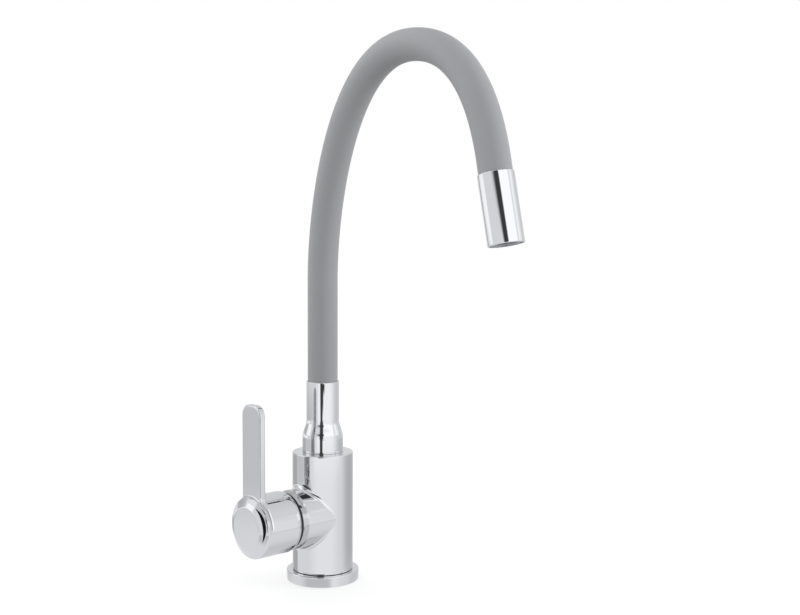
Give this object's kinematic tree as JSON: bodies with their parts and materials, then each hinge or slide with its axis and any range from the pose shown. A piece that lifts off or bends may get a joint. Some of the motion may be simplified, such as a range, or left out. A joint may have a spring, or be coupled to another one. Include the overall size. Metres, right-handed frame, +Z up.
{
  "type": "single-lever kitchen mixer tap",
  "caption": "Deck-mounted single-lever kitchen mixer with a side handle, a ceramic disc cartridge and a swivelling hose-covered spout that arches forward to an aerated outlet.",
  "frame": {"origin": "on the tap's upright axis at the level of the worktop it stands on", "axes": "+Z up along the upright axis, the spout arches towards -Y, the handle points towards -X"},
  "size_m": [0.108, 0.247, 0.4427],
  "materials": {
    "polished_chrome": "mirror-polished chrome plate on cast brass",
    "bare_brass": "turned, unplated",
    "plain_steel": "plain stainless",
    "grey_silicone": "smooth matte silicone",
    "black_rubber": "matte",
    "white_plastic": "moulded",
    "blue_plastic": "moulded",
    "grey_plastic": "moulded",
    "white_ceramic": "lapped ceramic"
  },
  "bodies": {
    "body": {"base_plate": "polished_chrome", "base_seal": "black_rubber", "valve_body": "polished_chrome", "spout_lock_screw": "plain_steel", "port_seal_hot": "black_rubber", "port_seal_cold": "black_rubber", "port_seal_mixed": "black_rubber", "cartridge_base": "white_plastic", "cartridge_housing": "blue_plastic", "fixed_disc": "white_ceramic", "cartridge_nut": "bare_brass", "nut_cover_ring": "grey_plastic"},
    "spindle": {"spindle_carrier": "white_plastic", "stem_pin": "plain_steel"},
    "lever": {"stem": "bare_brass", "lever_handle": "polished_chrome", "handle_grub_screw": "plain_steel", "grub_screw_plug": "grey_plastic"},
    "disc_slide": {"moving_disc": "white_ceramic", "disc_carrier": "white_plastic"},
    "spout": {"spout_socket": "polished_chrome", "spigot_o_ring_lower": "black_rubber", "spigot_o_ring_upper": "black_rubber", "spigot_bearing_lower": "white_plastic", "spigot_bearing_upper": "white_plastic", "hose_sleeve": "grey_silicone", "gooseneck_core": "plain_steel", "water_tube": "white_plastic", "hose_ferrule_lower": "bare_brass", "hose_ferrule_upper": "bare_brass", "outlet_sleeve": "polished_chrome", "aerator_seal": "black_rubber", "aerator_housing": "grey_plastic", "aerator_insert": "white_plastic", "aerator_screen": "plain_steel"}
  },
  "joints": [
    {"name": "spout_swivel", "type": "hinge", "parent": "body", "child": "spout", "pos_m": [0, 0, 0.1077], "axis": [0, 0, 1], "continuous": true},
    {"name": "temperature_turn", "type": "hinge", "parent": "body", "child": "spindle", "pos_m": [0, 0, 0.055], "axis": [-1, 0, 0], "range_deg": [-50, 50]},
    {"name": "flow_tilt", "type": "hinge", "parent": "spindle", "child": "lever", "pos_m": [-0.024, 0, 0.055], "axis": [0, -1, 0], "range_deg": [0, 20]},
    {"name": "disc_shift", "type": "slide", "parent": "spindle", "child": "disc_slide", "axis": [0, 0, 1], "range_m": [0, 0.0018]}
  ],
  "couplings": [
    {"joint": "disc_shift", "follows": "flow_tilt", "m_per_rad": 0.005}
  ]
}
